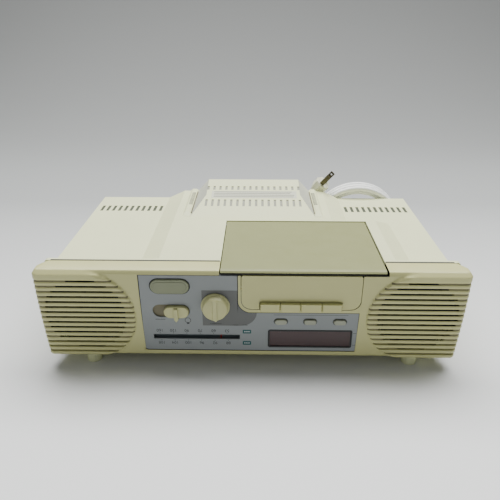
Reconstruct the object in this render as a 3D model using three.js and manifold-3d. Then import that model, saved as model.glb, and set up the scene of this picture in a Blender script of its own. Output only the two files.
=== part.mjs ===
// Kitchen clock radio with a cassette deck, standing on the four spacers of its mounting side.
// Millimetres, +Z up. The front face is turned to -Y and the object's length runs along X.
import * as THREE from "three";
import { mergeVertices } from "three/addons/utils/BufferGeometryUtils.js";
import { ConvexGeometry } from "three/addons/geometries/ConvexGeometry.js";
import Module from "manifold-3d";

const wasm = await Module();
wasm.setup();

// ---- driving dimensions ----------------------------------------------------------------------
const GAP = 0.3; // between touching pieces
const CENTRE_Y = 113; // middle of the depth, from the knob's cap to the rear wall
const POST_HEIGHT = 14;
const POST_RADIUS = 8;
const BEZEL_HALF = 214.5;
const BEZEL_LOW = 14;
const BEZEL_FACE_TOP = 109;
const TOP = 113; // bezel strip, rim, raised centre and door plate are level
const BEZEL_DEPTH = 22;
const BEZEL_WALL = 4;
const RIM_HALF = 210;
const RIM_BACK = 27;
const BODY_HALF = 206;
const BODY_LOW = 16;
const WING_TOP = 103;
const REAR = 236;
const WALL = 2.5;
const RAISED_HALF = 94.3;
const SLOPE_RUN = 21.6;
const SHELF_EDGE = 145.9; // the raised centre reaches further right beside the door
const SHELF_BACK = 131;
const HUMP_FRONT = 142.3;
const HUMP_TOP = 129.4;
const HUMP_HALF = 75.5;
const HUMP_TOP_HALF = 60.5;
const RAIL = { inner: HUMP_HALF + 0.1, outer: 85.2, crown: 2.8, shoulder: 1.2, lip: 0.2, taperEnd: 152 };
const RAIL_EDGE = 2.5; // from the rail's side to the edge of its crown
const WING_VENTS = { count: 11, first: 121, pitch: 7.65, halfWidth: 1.9 };
const HUMP_VENTS = { count: 16, pitch: 7.92, halfWidth: 1.5 };
const SCREWS = [
  ["cover_screw_front_left", -120, 40],
  ["cover_screw_front_right", 120, 40],
  ["cover_screw_rear_left", -120, 222],
  ["cover_screw_rear_right", 120, 222],
];
const SPACER = { x: 169, front: POST_RADIUS + 4, rear: 215, screwHole: 2.6, holeDepth: 9 };
const SPEAKER_X = 167.5;
const SPEAKER_Z = 63.5;
const GRILLE_RADIUS = 41;
const PAD_RADIUS = 51.5;
const PAD_PROUD = 2.2;
const PAD_DROP = 2; // the pad's middle lies below the speaker's
const SLOT_COUNT = 14;
const SLOT_PITCH = 5.89;
const SLOT_HEIGHT = 1.6;
const DOOR = { left: -30, right: 132, front: 1, back: 126.8, low: 110.3 };
const DOOR_OPENING = { left: -31, right: 134, back: 129, low: 108.5 };
const HINGE = { y: 124.6, z: 108.4, radius: 1.5 };
const FLAP = { left: -9.4, right: 109.1, low: 70.6, high: 108.2, back: 3.2 };
const KEYS = { edges: [9, 29.1, 49.4, 70.5, 90.5], low: 70.9, high: 78.8, proud: 5 };
const DECK_X = 49.85; // middle of the cassette, the flap and the keys
const HUB_SPACING = 42.5;
const HUB_Y = 41.2;
const CASSETTE = { halfLength: 50.2, front: 12, back: 75.8, low: 95.6, high: 107.6 };
const CHASSIS_TOP = 88;
const KNOB = { x: -35.6, z: 74, radius: 14.5, proud: 10 };
const SLIDER_SLOT = { left: -99.2, right: -61.6, low: 60.2, high: 74.8 };
const SLIDER = { left: -87.4, right: -62.6, tip: 57.2 };
const OVAL = { x: -80.25, z: 96, length: 38.5, height: 15.8 };
const SET_BUTTONS = [
  ["hour_set_button", 30.4],
  ["minute_set_button", 60],
  ["alarm_set_button", 90.1],
];
const SET_BUTTON = { z: 56, length: 12.2, height: 5.6 };
const DISPLAY = { left: 17.7, right: 103.6, low: 24.5, high: 45.8 };
const DIAL = { left: -100.3, right: -11.4, low: 33.8, high: 39.3, needle: -31 };
const THUMBWHEEL = { x: 189, y: 50, radius: 20, low: 34, high: 40, drum: 8, drumTop: 48 };
const CORD_RADIUS = 3.25;
const RELIEF = { x: 154, z: 57, length: 30 };
const COIL = { x: 145, y: 253.4, z: 61.3, outer: 60.5, inner: 47.2, width: 20, leanDegrees: 8.5 };
const PLUG_FACE = new THREE.Vector3(96, 243, 123.6);
const PLUG_AXIS = new THREE.Vector3(0.5, -0.42, 0.757).normalize();
const BLADES_ALONG = new THREE.Vector3(0.5, 0.854, 0.143).normalize(); // from one blade to the other
const PLUG_LENGTH = 29;
const BLADE = { width: 6.35, thick: 1.5, length: 17.5, spacing: 12.7, hole: 1.6, holeFromTip: 3.6 };

// hand-laid routes of the stretches of cord that are not coiled
const LEAD_ROUTE = [
  [154, 266.8, 57], [154.2, 272, 56.8], [155, 278, 55], [156.6, 284, 50.6], [158.4, 288.4, 44],
  [159.6, 290.6, 36], [159.2, 290.6, 28], [156.4, 289, 20], [151, 286.2, 13], [143.6, 283, 7.4],
  [135, 279.6, 4.2], [126.5, 276.6, 3.6],
];
const TAIL_ROUTE = [
  [80.9, 254.4, 66], [80.3, 255, 71], [79.7, 255.8, 76], [79.3, 256.6, 81], [79.1, 257.2, 86],
  [79.2, 257.2, 91], [79.7, 256.6, 95.6], [80.6, 255.6, 99],
];

// ---- solids from three.js geometry -----------------------------------------------------------
function toSolid(geometry) {
  geometry.deleteAttribute("normal");
  geometry.deleteAttribute("uv");
  const merged = mergeVertices(geometry);
  const index = merged.index.array;
  const corners = [];
  for (let i = 0; i < index.length; i += 3) {
    const [a, b, c] = [index[i], index[i + 1], index[i + 2]];
    if (a !== b && b !== c && c !== a) corners.push(a, b, c);
  }
  const vertProperties = new Float32Array(merged.attributes.position.array);
  const build = (order) => {
    const triVerts = new Uint32Array(order);
    return new wasm.Manifold(new wasm.Mesh({ numProp: 3, vertProperties, triVerts }));
  };
  const solid = build(corners);
  return solid.volume() > 0 ? solid : build(corners.reverse());
}

function block([x0, x1], [y0, y1], [z0, z1]) {
  const box = new THREE.BoxGeometry(x1 - x0, y1 - y0, z1 - z0);
  box.translate((x0 + x1) / 2, (y0 + y1) / 2, (z0 + z1) / 2);
  return toSolid(box);
}

// An outline in the plane across an axis, pushed along that axis from one place to another.
function prism(axis, outline, from, to) {
  const shape = new THREE.Shape(outline.map(([u, v]) => new THREE.Vector2(u, v)));
  const geometry = new THREE.ExtrudeGeometry(shape, { depth: to - from, bevelEnabled: false });
  const turn = new THREE.Matrix4();
  if (axis === "x") turn.set(0, 0, 1, from, 1, 0, 0, 0, 0, 1, 0, 0, 0, 0, 0, 1);
  if (axis === "y") turn.set(1, 0, 0, 0, 0, 0, -1, to, 0, 1, 0, 0, 0, 0, 0, 1);
  if (axis === "z") turn.set(1, 0, 0, 0, 0, 1, 0, 0, 0, 0, 1, from, 0, 0, 0, 1);
  return toSolid(geometry.applyMatrix4(turn));
}

// A profile of [radius, height] turned about an axis through a centre.
function turned(axis, profile, [x, y, z], sides = 24) {
  const points = profile.map(([radius, height]) => new THREE.Vector2(radius, height));
  const geometry = new THREE.LatheGeometry(points, sides);
  if (axis === "x") geometry.rotateZ(-Math.PI / 2);
  if (axis === "z") geometry.rotateX(Math.PI / 2);
  return toSolid(geometry.translate(x, y, z));
}

function disc(axis, radius, from, to, centre, sides = 24) {
  return turned(axis, [[0, from], [radius, from], [radius, to], [0, to]], centre, sides);
}

function hull(points) {
  return toSolid(new ConvexGeometry(points.map(([x, y, z]) => new THREE.Vector3(x, y, z))));
}

function tube(route, radius, sides, steps) {
  const path = new THREE.CatmullRomCurve3(route.map(([x, y, z]) => new THREE.Vector3(x, y, z)));
  const section = new THREE.Shape();
  for (let i = 0; i < sides; i++) {
    const angle = (i / sides) * 2 * Math.PI;
    const [u, v] = [radius * Math.cos(angle), radius * Math.sin(angle)];
    if (i === 0) section.moveTo(u, v);
    else section.lineTo(u, v);
  }
  return toSolid(new THREE.ExtrudeGeometry(section, { extrudePath: path, steps }));
}

function join(first, ...rest) {
  return rest.reduce((sum, next) => sum.add(next), first);
}

function cut(first, ...rest) {
  return rest.reduce((left, next) => left.subtract(next), first);
}

// A rectangle with each corner rounded by its own radius, from the low left corner anticlockwise.
function rounded([x0, x1], [z0, z1], radii, steps = 4) {
  const corners = [
    [x0, z0, 1, 1, Math.PI],
    [x1, z0, -1, 1, 1.5 * Math.PI],
    [x1, z1, -1, -1, 0],
    [x0, z1, 1, -1, Math.PI / 2],
  ];
  const outline = [];
  corners.forEach(([x, z, towardsX, towardsZ, start], i) => {
    const radius = Array.isArray(radii) ? radii[i] : radii;
    if (radius === 0) {
      outline.push([x, z]);
      return;
    }
    for (let step = 0; step <= steps; step++) {
      const angle = start + (step / steps) * (Math.PI / 2);
      const centre = [x + towardsX * radius, z + towardsZ * radius];
      outline.push([centre[0] + radius * Math.cos(angle), centre[1] + radius * Math.sin(angle)]);
    }
  });
  return outline;
}

// ---- casing ----------------------------------------------------------------------------------
function fasciaOutline(grow) {
  const [low, step, high] = [20 - grow, 66.5 + grow, 108.5 + grow];
  const [left, middle, right] = [-110.8 - grow, -13 + grow, 109 + grow];
  const corner = 4;
  const turn = 13.6 - grow; // round the door flap's corner
  const bend = [0, 1, 2, 3, 4].map((i) => {
    const angle = 1.5 * Math.PI - (i / 4) * (Math.PI / 2);
    return [middle + turn * (1 + Math.cos(angle)), step + turn * (1 + Math.sin(angle))];
  });
  return [
    [left + corner, low], [right, low], [right, step], ...bend, [middle, high], [left, high],
    [left, low + corner], [left + 0.3 * corner, low + 0.3 * corner],
  ];
}

function grilleSlots(side) {
  const slots = [];
  for (let i = 0; i < SLOT_COUNT; i++) {
    const z = SPEAKER_Z + (i - (SLOT_COUNT - 1) / 2) * SLOT_PITCH;
    const half = Math.sqrt(GRILLE_RADIUS ** 2 - (z - SPEAKER_Z) ** 2);
    const x = side * SPEAKER_X;
    const height = [z - SLOT_HEIGHT / 2, z + SLOT_HEIGHT / 2];
    slots.push(block([x - half, x + half], [-PAD_PROUD - 1, BEZEL_WALL + 1], height));
  }
  return slots;
}

function oval(x, z, length, height, from, to) {
  const [halfLength, halfHeight] = [length / 2, height / 2];
  const span = [[x - halfLength, x + halfLength], [z - halfHeight, z + halfHeight]];
  return prism("y", rounded(...span, halfHeight - 0.01, 5), from, to);
}

// What passes through the fascia, each opening larger than its control by a margin.
function fasciaOpenings(margin, from, to) {
  const span = ([low, high]) => [low - margin, high + margin];
  return [
    oval(OVAL.x, OVAL.z, OVAL.length + 2 * margin, OVAL.height + 2 * margin, from, to),
    block(span([SLIDER_SLOT.left, SLIDER_SLOT.right]), [from, to], span([SLIDER_SLOT.low, SLIDER_SLOT.high])),
    disc("y", 4 + margin, from, to, [KNOB.x, 0, KNOB.z], 16),
    block(span([DIAL.left, DIAL.right]), [from, to], span([DIAL.low, DIAL.high])),
    block(span([DISPLAY.left, DISPLAY.right]), [from, to], span([DISPLAY.low, DISPLAY.high])),
    ...SET_BUTTONS.map(([, x]) => {
      return oval(x, SET_BUTTON.z, SET_BUTTON.length + 2 * margin, SET_BUTTON.height + 2 * margin, from, to);
    }),
  ];
}

function frontBezel() {
  const frontOutline = rounded([-BEZEL_HALF + 1, BEZEL_HALF - 1], [BEZEL_LOW, TOP], [6, 6, 0, 0]);
  const front = prism("y", frontOutline, -3, BEZEL_DEPTH);
  const plan = [
    [-BEZEL_HALF + 3, 0], [BEZEL_HALF - 3, 0], [BEZEL_HALF, 4], [BEZEL_HALF, 11], [207, BEZEL_DEPTH],
    [-207, BEZEL_DEPTH], [-BEZEL_HALF, 11], [-BEZEL_HALF, 4],
  ];
  const side = [
    [0, BEZEL_LOW + 2], [2, BEZEL_LOW], [BEZEL_DEPTH, BEZEL_LOW], [BEZEL_DEPTH, TOP], [2, TOP],
    [0, BEZEL_FACE_TOP],
  ];
  const body = prism("z", plan, 0, TOP + 1).intersect(prism("x", side, -BEZEL_HALF - 5, BEZEL_HALF + 5));
  const pads = [-1, 1].map((way) => {
    return disc("y", PAD_RADIUS, -PAD_PROUD, 1, [way * SPEAKER_X, 0, SPEAKER_Z - PAD_DROP], 40)
      .intersect(block([-BEZEL_HALF + 4, BEZEL_HALF - 4], [-5, 5], [BEZEL_LOW + 3, BEZEL_FACE_TOP]));
  });
  const shell = join(body, ...pads).intersect(front);
  const hollowPlan = [[-211, BEZEL_WALL], [211, BEZEL_WALL], [211, 9], [203.5, 23], [-203.5, 23], [-211, 9]];
  return cut(
    shell,
    prism("z", hollowPlan, BEZEL_LOW + 3, TOP - 3),
    block([DOOR_OPENING.left, DOOR_OPENING.right], [-5, 23], [DOOR_OPENING.low, TOP + 1]),
    block([FLAP.left - 0.6, FLAP.right + 0.6], [-5, 5], [FLAP.low - 0.6, TOP + 1]),
    prism("y", fasciaOutline(GAP), -5, 2.4),
    ...fasciaOpenings(0.4, 0, 5),
    ...grilleSlots(-1),
    ...grilleSlots(1),
  );
}

// Outline of the cabinet with every wall moved inwards by the same amount.
function cabinetForm(inset, frontY, rearY, lowZ) {
  const top = TOP - inset;
  const wing = WING_TOP - inset;
  const edge = RAISED_HALF - inset / 2;
  const foot = edge + SLOPE_RUN;
  const shelf = SHELF_EDGE - inset / 2;
  const shelfFoot = shelf + 20;
  const box = block([-BODY_HALF + inset, BODY_HALF - inset], [frontY, rearY], [lowZ, wing]);
  const section = [
    [-foot, wing - 1], [foot, wing - 1], [foot, wing], [edge, top], [-edge, top], [-foot, wing],
  ];
  const raised = prism("y", section, frontY, rearY);
  const shelfBack = SHELF_BACK - inset;
  const shelfRear = shelfBack + 15;
  const shelfBlock = hull([
    [0, frontY, wing - 1], [shelfFoot, frontY, wing - 1], [shelfFoot, shelfRear, wing - 1],
    [0, shelfRear, wing - 1], [0, frontY, top], [shelf, frontY, top], [shelf, shelfBack, top],
    [0, shelfBack, top], [shelfFoot, frontY, wing], [shelfFoot, shelfRear, wing], [0, shelfRear, wing],
  ]);
  const side = HUMP_HALF - inset;
  const ridge = HUMP_TOP_HALF - inset;
  const slope = (HUMP_TOP - TOP) / (REAR - HUMP_FRONT);
  const roof = (y) => TOP - inset + slope * (y - HUMP_FRONT);
  const hump = hull([-1, 1].flatMap((way) => [
    [way * side, HUMP_FRONT, top - 1], [way * side, rearY, top - 1], [way * side, HUMP_FRONT, top],
    [way * side, rearY, top], [way * ridge, 195, roof(195)], [way * ridge, rearY, roof(rearY)],
  ]));
  return join(box, raised, shelfBlock, hump);
}

function ventSlots() {
  const slots = [];
  for (const way of [-1, 1]) {
    for (let i = 0; i < WING_VENTS.count; i++) {
      const x = way * (WING_VENTS.first + i * WING_VENTS.pitch);
      const width = [x - WING_VENTS.halfWidth, x + WING_VENTS.halfWidth];
      slots.push(block(width, [184.5, 202.6], [WING_TOP - 4, WING_TOP + 1]));
    }
  }
  for (const [front, back] of [[166.3, 182.4], [207.5, 217.1]]) {
    for (let i = 0; i < HUMP_VENTS.count; i++) {
      const x = (i - (HUMP_VENTS.count - 1) / 2) * HUMP_VENTS.pitch;
      const width = [x - HUMP_VENTS.halfWidth, x + HUMP_VENTS.halfWidth];
      slots.push(block(width, [front, back], [TOP - 1, HUMP_TOP]));
    }
  }
  return slots;
}

// A low rail beside the hump that rises out of the raised centre and runs to the rear wall.
function humpRail(way) {
  const { inner, outer, crown, shoulder, lip, taperEnd } = RAIL;
  const front = [[inner, TOP - 1], [outer, TOP - 1], [inner, TOP + lip], [outer, TOP + lip]];
  const section = [
    [inner, TOP - 1], [outer, TOP - 1], [inner, TOP + shoulder], [outer, TOP + shoulder],
    [inner + RAIL_EDGE, TOP + crown], [outer - RAIL_EDGE, TOP + crown],
  ];
  const places = [[front, HUMP_FRONT], [section, taperEnd], [section, REAR]];
  return hull(places.flatMap(([points, y]) => points.map(([x, z]) => [way * x, y, z])));
}

function mainCabinet() {
  const shell = cabinetForm(0, BEZEL_DEPTH + GAP, REAR, BODY_LOW);
  const rimOutline = rounded([-RIM_HALF, RIM_HALF], [BODY_LOW, TOP], [4, 4, 3, 3], 2);
  const rim = prism("y", rimOutline, BEZEL_DEPTH + GAP, RIM_BACK);
  const rails = [humpRail(-1), humpRail(1)];
  const inside = cabinetForm(WALL, BEZEL_DEPTH - 1, REAR - WALL, BODY_LOW - 3);
  const pinHolders = [[-42, -34], [136, 142.5]].map((span) => {
    return block(span, [118, 130], [104.5, TOP - WALL + 0.1]);
  });
  const outlet = block([-150.3, -114.7], [225, 240], [39.7, 75.3]);
  const wheelSlots = [-1, 1].map((way) => {
    const x = way * BODY_HALF;
    return block([x - 6, x + 6], [36, 64], [THUMBWHEEL.low - 1.5, THUMBWHEEL.high + 1.5]);
  });
  return cut(
    join(cut(join(shell, rim, ...rails), inside), ...pinHolders),
    block([DOOR_OPENING.left, DOOR_OPENING.right], [20, DOOR_OPENING.back], [DOOR_OPENING.low, TOP + 5]),
    disc("x", HINGE.radius + GAP, -41, 144, [0, HINGE.y, HINGE.z], 12),
    outlet,
    ...wheelSlots,
    disc("y", 5.5, REAR - 10, REAR + 10, [RELIEF.x, 0, RELIEF.z], 16),
    ...ventSlots(),
  );
}

function mountingCover() {
  const plate = block([-203.2, 203.2], [RIM_BACK - 4, REAR - WALL - GAP], [BEZEL_LOW + 0.3, BEZEL_LOW + 2.9]);
  const holes = SCREWS.map(([, x, y]) => disc("z", 2.2, 0, 30, [x, y, 0], 10));
  return cut(plate, ...holes);
}

function mountingSpacer(x, y) {
  const body = disc("z", POST_RADIUS, 0, POST_HEIGHT - 0.1, [x, y, 0], 20);
  return cut(body, disc("z", SPACER.screwHole, -1, SPACER.holeDepth, [x, y, 0], 12));
}

function coverScrew(x, y) {
  const [head, under] = [BEZEL_LOW - 2.4, BEZEL_LOW];
  const profile = [
    [0, head], [3.4, head + 0.8], [3.4, under], [1.6, under], [1.6, under + 9], [0, under + 10],
  ];
  return turned("z", profile, [x, y, 0], 12);
}

// ---- fascia, display and dial ----------------------------------------------------------------
function controlFascia() {
  return cut(prism("y", fasciaOutline(0), 0.4, 2.1), ...fasciaOpenings(0.2, -1, 5));
}

function displayWindow() {
  return block([DISPLAY.left, DISPLAY.right], [0.7, 2.1], [DISPLAY.low, DISPLAY.high]);
}

function displayModule() {
  const body = block([20, 101], [4.4, 12], [27, 44]);
  return join(body, block([24, 97], [12, 14], [29, 42]));
}

function dialBackplate() {
  return block([DIAL.left - 3, DIAL.right + 3], [6, 7], [DIAL.low - 3, 42]);
}

function dialNeedle() {
  const bar = block([DIAL.needle - 0.6, DIAL.needle + 0.6], [4.5, 5.3], [DIAL.low - 2, 47]);
  return join(bar, block([DIAL.needle - 2, DIAL.needle + 2], [4.5, 7.6], [43, 47]));
}

// A closed loop of cord round the wheel's drum and two rollers behind the dial.
function dialCord() {
  const loop = (extra) => {
    const rounds = [
      [-THUMBWHEEL.x, THUMBWHEEL.y, THUMBWHEEL.drum + 0.4],
      [-107, 11.2, 2.4],
      [-3, 11.2, 2.4],
    ];
    const points = rounds.flatMap(([x, y, radius]) => {
      return Array.from({ length: 16 }, (_, i) => {
        const angle = (i / 16) * 2 * Math.PI;
        return [x + (radius + extra) * Math.cos(angle), y + (radius + extra) * Math.sin(angle)];
      });
    });
    const over = extra === 0 ? 1 : 0;
    return hull(points.flatMap(([x, y]) => [[x, y, 44 - over], [x, y, 45 + over]]));
  };
  return cut(loop(0.8), loop(0));
}

function thumbwheel(way) {
  const { x, y, radius, low, high, drum, drumTop } = THUMBWHEEL;
  const profile = [[0, low], [radius, low], [radius, high], [drum, high], [drum, drumTop], [0, drumTop]];
  return turned("z", profile, [way * x, y, 0], 32);
}

function functionKnob() {
  const y0 = -KNOB.proud;
  const cap = turned("y", [
    [0, y0 + 1.4], [11.6, y0 + 1.4], [12.4, y0 + 2.2], [13.2, -2.2], [KNOB.radius, -1.6],
    [KNOB.radius, 0], [3, 0], [3, 14], [0, 14],
  ], [KNOB.x, 0, KNOB.z], 28);
  const grip = block([KNOB.x - 2.2, KNOB.x + 2.2], [y0, -4], [KNOB.z - 11, KNOB.z + 11]);
  const tip = [[KNOB.x - 5, KNOB.z - 12], [KNOB.x, KNOB.z - 18.2], [KNOB.x + 5, KNOB.z - 12]];
  const pointer = prism("y", tip, -1.6, 0);
  return join(cap, grip, pointer);
}

function modeSlider() {
  const capHeight = [SLIDER_SLOT.low + 0.5, SLIDER_SLOT.high - 0.5];
  const cap = prism("y", rounded([SLIDER.left, SLIDER.right], capHeight, 2, 3), -3.4, 1.6);
  const middle = (SLIDER.left + SLIDER.right) / 2;
  const rib = prism("y", [
    [middle - 2.2, SLIDER_SLOT.high - 2], [middle - 2.2, SLIDER.tip + 4], [middle, SLIDER.tip],
    [middle + 2.2, SLIDER.tip + 4], [middle + 2.2, SLIDER_SLOT.high - 2],
  ], -5.4, -0.2);
  const stem = block([middle - 3, middle + 3], [1, 8], [65, 70]);
  return join(cap, rib, stem);
}

function snoozeButton() {
  const cap = oval(OVAL.x, OVAL.z, OVAL.length, OVAL.height, -1.4, 1.8);
  return join(cap, block([OVAL.x - 9, OVAL.x + 9], [1.5, 9], [OVAL.z - 3, OVAL.z + 3]));
}

function setButton(x) {
  const cap = oval(x, SET_BUTTON.z, SET_BUTTON.length, SET_BUTTON.height, -1.6, 1.8);
  return join(cap, block([x - 3, x + 3], [1.5, 8], [SET_BUTTON.z - 1.2, SET_BUTTON.z + 1.2]));
}

// ---- cassette door, holder and keys ----------------------------------------------------------
function doorPlate() {
  const side = [
    [DOOR.front + 1.2, DOOR.low], [DOOR.back, DOOR.low], [DOOR.back, TOP - 1], [DOOR.back - 1, TOP],
    [DOOR.front + 5, TOP], [DOOR.front + 1.6, TOP - 0.7], [DOOR.front, TOP - 2],
  ];
  const plate = prism("x", side, DOOR.left, DOOR.right);
  const knuckles = [[-29, -21], [123, 131]].map((span) => {
    const knuckle = [[120.6, DOOR.low + 0.5], [121.2, 105.6], [127, 105.6], [126.8, DOOR.low + 0.5]];
    return prism("x", knuckle, ...span);
  });
  return cut(join(plate, ...knuckles), disc("x", HINGE.radius + GAP, -200, 200, [0, HINGE.y, HINGE.z], 12));
}

function doorFlap() {
  const outline = rounded([FLAP.left, FLAP.right], [FLAP.low, FLAP.high], [10, 10, 2, 2]);
  const keyWidth = [KEYS.edges[0] - 0.6, KEYS.edges[4] + 0.6];
  return cut(prism("y", outline, 0, FLAP.back), block(keyWidth, [-5, 5], [FLAP.low - 1, KEYS.high + 0.6]));
}

// A tray that hangs under the plate: a top sheet with a wall down each end.
function cassetteHolder() {
  const reach = CASSETTE.halfLength + 0.8;
  const [left, right] = [DECK_X - reach, DECK_X + reach];
  const sheet = block([left - 2, right + 2], [FLAP.back + GAP, 84], [CASSETTE.high + 0.4, DOOR.low - GAP]);
  const walls = [[left - 2, left], [right, right + 2]].map((span) => {
    return block(span, [FLAP.back + GAP, 80], [CASSETTE.low - 2, CASSETTE.high + 0.6]);
  });
  return join(sheet, ...walls);
}

function cassetteKey(from, to) {
  const cap = prism("z", [
    [from + 0.3, 11], [from + 0.3, -KEYS.proud + 1], [from + 1.3, -KEYS.proud], [to - 1.3, -KEYS.proud],
    [to - 0.3, -KEYS.proud + 1], [to - 0.3, 11],
  ], KEYS.low, KEYS.high);
  return join(cap, block([(from + to) / 2 - 2, (from + to) / 2 + 2], [10, 34], [72, 76]));
}

function hingePin() {
  return disc("x", HINGE.radius, -40.5, 142, [0, HINGE.y, HINGE.z], 12);
}

// ---- tape deck -------------------------------------------------------------------------------
const SUPPLY_X = DECK_X - HUB_SPACING / 2;
const TAKE_UP_X = DECK_X + HUB_SPACING / 2;
const CAPSTAN = { x: DECK_X + 21, y: 69.5 };
const FLYWHEEL_RADIUS = 24;
const MOTOR = { x: 8, y: 74, radius: 16, pulley: 5 };

function deckChassis() {
  const plate = block([-18, 118], [16, 112], [CHASSIS_TOP - 2, CHASSIS_TOP]);
  const legs = [[-18, -15], [115, 118]].map((span) => {
    return block(span, [40, 112], [BEZEL_LOW + 12, CHASSIS_TOP - 1]);
  });
  const holes = [
    ...[SUPPLY_X, TAKE_UP_X].map((x) => disc("z", 2, 60, 100, [x, HUB_Y, 0], 12)),
    disc("z", 2, 60, 100, [CAPSTAN.x, CAPSTAN.y, 0], 12),
    disc("z", 2, 60, 100, [CAPSTAN.x, CAPSTAN.y + 8.2, 0], 12),
    disc("z", 3, 60, 100, [MOTOR.x, MOTOR.y, 0], 12),
  ];
  return cut(join(plate, ...legs), ...holes);
}

function reelSpindle(x) {
  const spindle = turned("z", [
    [0, CHASSIS_TOP - 5], [1.6, CHASSIS_TOP - 5], [1.6, CHASSIS_TOP + GAP], [11, CHASSIS_TOP + GAP],
    [11, CHASSIS_TOP + 3], [3.4, CHASSIS_TOP + 3.4], [3.4, 101.5], [0, 103.5],
  ], [x, HUB_Y, 0], 18);
  const teeth = [0, 1, 2].map((i) => {
    const tooth = new THREE.BoxGeometry(9.4, 1.2, 9);
    return toSolid(tooth.rotateZ((i * Math.PI) / 3).translate(x, HUB_Y, 96));
  });
  return join(spindle, ...teeth);
}

function capstanFlywheel() {
  return turned("z", [
    [0, 74], [FLYWHEEL_RADIUS, 74], [FLYWHEEL_RADIUS, 80], [1.5, 80], [1.5, 104], [0, 104],
  ], [CAPSTAN.x, CAPSTAN.y, 0], 32);
}

function pinchRoller() {
  return turned("z", [
    [0, 83], [1.6, 83], [1.6, 95], [6.4, 95], [6.4, 103], [1.6, 103], [1.6, 105], [0, 105],
  ], [CAPSTAN.x, CAPSTAN.y + 8.2, 0], 20);
}

function driveMotor() {
  const can = disc("z", MOTOR.radius, 40, 70, [MOTOR.x, MOTOR.y, 0], 28);
  return cut(can, disc("z", 1.8, 66, 71, [MOTOR.x, MOTOR.y, 0], 12));
}

function motorPulley() {
  return turned("z", [
    [0, 67], [1.4, 67], [1.4, 71.5], [MOTOR.pulley + 1, 71.5], [MOTOR.pulley + 1, 73.5],
    [MOTOR.pulley, 74.5], [MOTOR.pulley, 79], [0, 79],
  ], [MOTOR.x, MOTOR.y, 0], 20);
}

function driveBelt() {
  const loop = (extra, low, high) => {
    const rounds = [
      [CAPSTAN.x, CAPSTAN.y, FLYWHEEL_RADIUS + GAP, 32],
      [MOTOR.x, MOTOR.y, MOTOR.pulley + GAP, 16],
    ];
    return hull(rounds.flatMap(([x, y, radius, count]) => {
      return Array.from({ length: count }, (_, i) => (i / count) * 2 * Math.PI).flatMap((angle) => {
        const point = [x + (radius + extra) * Math.cos(angle), y + (radius + extra) * Math.sin(angle)];
        return [[...point, low], [...point, high]];
      });
    }));
  };
  return cut(loop(0.9, 75.2, 78.4), loop(0, 74, 80));
}

function tapeHead() {
  const back = CASSETTE.back;
  const nose = prism("z", rounded([DECK_X - 7, DECK_X + 7], [back + 1, back + 12], [3, 3, 0, 0], 3), 94, 104);
  return join(nose, block([DECK_X - 12, DECK_X + 12], [back + 6, back + 14], [CHASSIS_TOP + GAP, 94.5]));
}

// ---- speakers and electrics ------------------------------------------------------------------
function speakerFrame(way) {
  return turned("y", [
    [36.5, BEZEL_WALL + 0.5], [39.5, BEZEL_WALL + 0.5], [39.5, 6.4], [36.8, 6.6], [20.5, 20], [20.5, 21.5],
    [12, 21.5], [12, 19.6], [18.6, 19.6], [35, 6.4], [36.5, BEZEL_WALL + 0.5],
  ], [way * SPEAKER_X, 0, SPEAKER_Z], 24);
}

function speakerCone(way) {
  return turned("y", [
    [0, 12.6], [7, 14.6], [31, 6], [34, 5.2], [34, 6], [31.4, 7.2], [10.5, 16.4], [10.5, 19], [0, 19],
  ], [way * SPEAKER_X, 0, SPEAKER_Z], 24);
}

function speakerMagnet(way) {
  return disc("y", 16, 21.8, 33, [way * SPEAKER_X, 0, SPEAKER_Z], 20);
}

function circuitBoard() {
  const board = block([-110, 110], [120, 226], [24, 25.6]);
  const parts = [
    [[-90, -70], [140, 160], 24], [[-60, -40], [140, 152], 14], [[-20, 20], [140, 160], 8],
    [[40, 52], [138, 150], 26], [[60, 72], [138, 150], 26], [[84, 100], [150, 200], 20],
    [[-96, -60], [180, 216], 12],
  ];
  return join(board, ...parts.map(([x, y, height]) => block(x, y, [25, 25 + height])));
}

function powerTransformer() {
  const core = block([-33, 33], [182, 212], [58, 112]);
  return join(core, block([-22, 22], [173, 221], [68, 104]), block([-40, 40], [192, 202], [58, 60]));
}

function applianceOutlet() {
  const body = block([-150, -115], [222, REAR - GAP], [40, 75]);
  const slots = [-139.5, -125.5].map((x) => block([x - 1, x + 1], [226, 240], [52, 60]));
  return cut(body, ...slots, disc("y", 2.6, 226, 240, [-132.5, 0, 66], 12));
}

// ---- mains cord ------------------------------------------------------------------------------
function strainRelief() {
  return turned("y", [
    [0, REAR - 6], [8, REAR - 6], [8, REAR - 2.9], [5.1, REAR - 2.9], [5.1, REAR + 0.4],
    [7.4, REAR + 0.4], [7.2, REAR + 3], [4.2, REAR + RELIEF.length], [0, REAR + RELIEF.length],
  ], [RELIEF.x, 0, RELIEF.z], 16);
}

function cordCoil() {
  const half = COIL.width / 2;
  const profile = [
    [COIL.inner, -half + 2], [COIL.inner + 2, -half], [COIL.outer - 2, -half], [COIL.outer, -half + 2],
    [COIL.outer, half - 2], [COIL.outer - 2, half], [COIL.inner + 2, half], [COIL.inner, half - 2],
    [COIL.inner, -half + 2],
  ];
  const points = profile.map(([radius, height]) => new THREE.Vector2(radius, height));
  const geometry = new THREE.LatheGeometry(points, 36);
  geometry.rotateX(THREE.MathUtils.degToRad(COIL.leanDegrees));
  return toSolid(geometry.translate(COIL.x, COIL.y, COIL.z));
}

// Everything on the plug is built along +Y from the face backwards, then laid along its axis.
function layAlongPlug(geometry) {
  const back = PLUG_AXIS.clone().negate();
  const across = new THREE.Vector3().crossVectors(BLADES_ALONG, back).normalize();
  const turn = new THREE.Matrix4().makeBasis(new THREE.Vector3().crossVectors(back, across), back, across);
  return toSolid(geometry.applyMatrix4(turn).translate(PLUG_FACE.x, PLUG_FACE.y, PLUG_FACE.z));
}

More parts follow.
